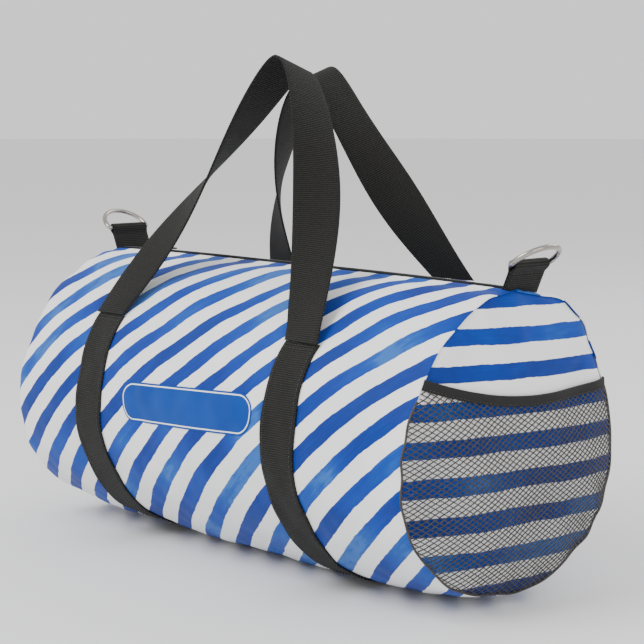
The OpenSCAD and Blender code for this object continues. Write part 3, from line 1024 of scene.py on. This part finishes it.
def mouth_run(drop, proud, reach=1.0):
    """Path along the pocket's mouth from seam to seam, drop mm below its top edge, with its up vectors."""
    y = np.linspace(-130, 130, 2601)
    z = mouth(y) - drop
    inside = end_share(1, y, z) < reach
    y, z = y[inside], z[inside]
    path = end_surface(1, y, z, pocket_proud(y, z) + proud)
    heading = ahead(path)
    up = unit(np.cross(heading, np.cross([1.0, 0, 0], heading)))
    return path, np.cross(heading, up), up


def pocket_binding():
    """Elastic tape folded over the net's top edge, with a row of stitches along its lower edge."""
    path, across, up = mouth_run(binding_wide / 2, 0.3)
    _, path, across, up = even(1.2, path, across, up)
    profile = flat_profile(binding_wide, 2.2, 9, 4)
    piece = sweep("mouth_binding", path, unit(across), unit(up), profile, elastic)
    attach(piece, "bag")
    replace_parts(piece, "pocket_binding")
    path, _, up = mouth_run(binding_wide - 1.4, 1.45, 0.97)
    thread = stitches("mouth_thread", path, up, dark_thread, 2.4)
    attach(thread, "bag")


def pocket_hem():
    """Dark raw edge of the net caught in the end seam, from mouth end to mouth end round the bottom."""
    turn = np.radians(np.linspace(22, -200, 500))
    edge = skin(half_length, turn)
    low = edge[:, 2] < mouth(edge[:, 1]) - 3
    path = edge[low] * [0, 0.996, 0.996] + [half_length - 0.1, 0, 0.004 * end_centre]
    heading = ahead(path)
    up = np.tile([1.0, 0, 0], (len(path), 1))
    piece = sweep("net_hem", path, np.cross(heading, up), up, tube_profile(0.9, 8), net_yarn)
    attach(piece, "bag")


net_pocket()
pocket_binding()
pocket_hem()


# ---------------- label

label_long, label_high, label_round = 172.0, 34.0, 15.3
label_middle, label_rise, label_tilt = 10.0, 6.2, 3.1      # mm along the bag, degrees up its side and of tilt


def name_label():
    """Blank printed badge on the front: long, with almost half-round ends, following the cloth. edge_gap
    is each point's distance from the outline."""
    share = np.linspace(-1, 1, 150)
    u = (label_long / 2 * np.sin(share * math.pi / 2))[:, None]
    v = np.linspace(-1, 1, 44)[None]
    past = np.maximum(np.abs(u) - (label_long / 2 - label_round), 0)
    half = label_high / 2 - label_round + np.sqrt(np.maximum(label_round ** 2 - past ** 2, 0))
    w = half * v
    straight = np.minimum(label_high / 2 - np.abs(w), label_long / 2 - np.abs(u))
    inward = np.maximum(np.abs(w) - (label_high / 2 - label_round), 0)
    gap = np.where((past > 0) & (inward > 0), label_round - np.hypot(past, inward), straight)
    tilt = math.radians(label_tilt)
    x = label_middle + u * math.cos(tilt) - w * math.sin(tilt)
    turn = math.radians(label_rise) + (u * math.sin(tilt) + w * math.cos(tilt)) / mean_radius
    uv = stack(u, w) / 1000
    piece = slab("badge", skin(x, turn, 0.45), skin(x, turn, 0.05), label_print, uv, {"edge_gap": gap})
    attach(piece, "bag")
    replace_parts(piece, "name_label")


name_label()


# ---------------- stitching and what shows inside

def zip_topstitch():
    """Row of pale thread along each folded edge beside the zip."""
    rows = []
    for sign in (-1, 1):
        x = np.linspace(-half_length + 4, half_length - 4, 500)
        turn = math.pi / 2 + sign * math.asin((zip_slot / 2 + stitch_inset) / mid_wide)
        path = skin(x, turn)
        rows.append(stitches(f"zip_row_{sign}", path, unit(skin(x, turn, 1) - path), pale_thread, 2.5, 0.26))
    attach(join("zip_thread", *rows), "bag")


def band_topstitch(side, word):
    """Thread along both edges of a belly band, and two rows across it where each handle leaves."""
    def row(name, degrees, off):
        """Stitches on top of the band, off mm from its middle line."""
        turn = np.radians(degrees)
        line = skin(side * band_x, turn, band_top)
        up = unit(skin(side * band_x, turn, band_top + 1) - line)
        return stitches(name, drape(line + stack(off, 0, 0), side * band_x), up, dark_thread)

    rear = -181 - anchor
    down = np.linspace(anchor - 1.5, rear + 2.5, 700)
    rows = [row(f"band_row_{word}_{sign}", down, sign * (web_wide / 2 - 3.2)) for sign in (-1, 1)]
    across = np.linspace(-web_wide / 2 + 3, web_wide / 2 - 3, 20)
    for k, angle in enumerate((anchor - 1.2, anchor - 2.6, rear + 2.2, rear + 3.6)):
        rows.append(row(f"band_across_{word}_{k}", angle + 0 * across, across))
    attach(join(f"band_thread_{word}", *rows), "bag")


def end_lining(side, word):
    """Lining disc just inside the end cloth."""
    y, z = disc_grid(side, 60, 0.97)
    outer = end_surface(side, y, z, -1.9)
    inner = end_surface(side, y, z, -2.6)
    uv = stack(y, z) / 1000
    if side > 0:
        outer, inner, uv = outer[:, ::-1], inner[:, ::-1], uv[:, ::-1]
    piece = slab(f"end_lining_cloth_{word}", outer, inner, lining, uv)
    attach(piece, "bag")
    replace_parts(piece, f"end_lining_{word}")


def seam_binding(side, word):
    """Tape folded over the seam allowance inside the bag, all the way round the end."""
    turn = around(240)
    x = side * (half_length - 3.2)
    path = skin(x, turn, -8.3)
    inward = unit(path - skin(x, turn, -2))
    heading = ahead(path, loop=True)
    up = unit(np.cross(inward, heading))
    profile = flat_profile(10, 2.4, 6)
    piece = sweep(f"seam_tape_{word}", path, np.cross(heading, up), up, profile, binding, loop=True)
    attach(piece, "bag")
    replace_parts(piece, f"seam_binding_{word}")


zip_topstitch()
for side, word in ((-1, "left"), (1, "right")):
    band_topstitch(side, word)
    end_lining(side, word)
    seam_binding(side, word)


# ---------------- camera, floor and light

def set_camera():
    """Long lens from the right front, a little above the bag."""
    data = bpy.data.cameras.new("camera")
    data.lens = 107.2012
    data.sensor_width = 36
    data.clip_start, data.clip_end = 0.1, 60
    camera = bpy.data.objects.new("camera", data)
    bpy.context.scene.collection.objects.link(camera)
    yaw, pitch = -0.8563, 0.1205
    camera.location = (1.2364395, -1.0413555, (267.6544 + axis_height) / 1000)
    look = Vector((math.sin(yaw) * math.cos(pitch), math.cos(yaw) * math.cos(pitch), -math.sin(pitch)))
    camera.rotation_mode = "QUATERNION"
    camera.rotation_quaternion = look.to_track_quat("-Z", "Y")
    bpy.context.scene.camera = camera


def area_light(name, place, aim, size, power):
    """Soft square light at place, turned to aim."""
    data = bpy.data.lights.new(name, "AREA")
    data.size, data.energy = size, power
    lamp = bpy.data.objects.new(name, data)
    bpy.context.scene.collection.objects.link(lamp)
    lamp.location = place
    lamp.rotation_mode = "QUATERNION"
    lamp.rotation_quaternion = (Vector(aim) - Vector(place)).to_track_quat("-Z", "Y")


def studio():
    """Wide pale floor, pale surroundings and three soft lights."""
    pale = finish("floor_paint", srgb(236, 236, 236), 0.7)
    reach = np.linspace(0.001, 14000, 3)[:, None]
    turn = around(96)
    points = stack(reach * np.cos(turn), reach * np.sin(turn), 0)
    mesh_piece("floor", points, [quads(3, 96, False, True)], pale)
    world = bpy.data.worlds.new("studio")
    world.use_nodes = True
    sky = world.node_tree.nodes["Background"].inputs
    sky["Color"].default_value = (1, 1, 1, 1)
    sky["Strength"].default_value = 1.05
    bpy.context.scene.world = world
    middle = (0, 0, 0.15)
    area_light("key", (-0.5, -1.9, 2.0), middle, size=1.4, power=50)
    area_light("fill", (2.2, -0.6, 1.2), middle, size=1.6, power=15)
    area_light("back", (0.2, 1.9, 1.7), middle, size=1.4, power=16)


set_camera()
studio()
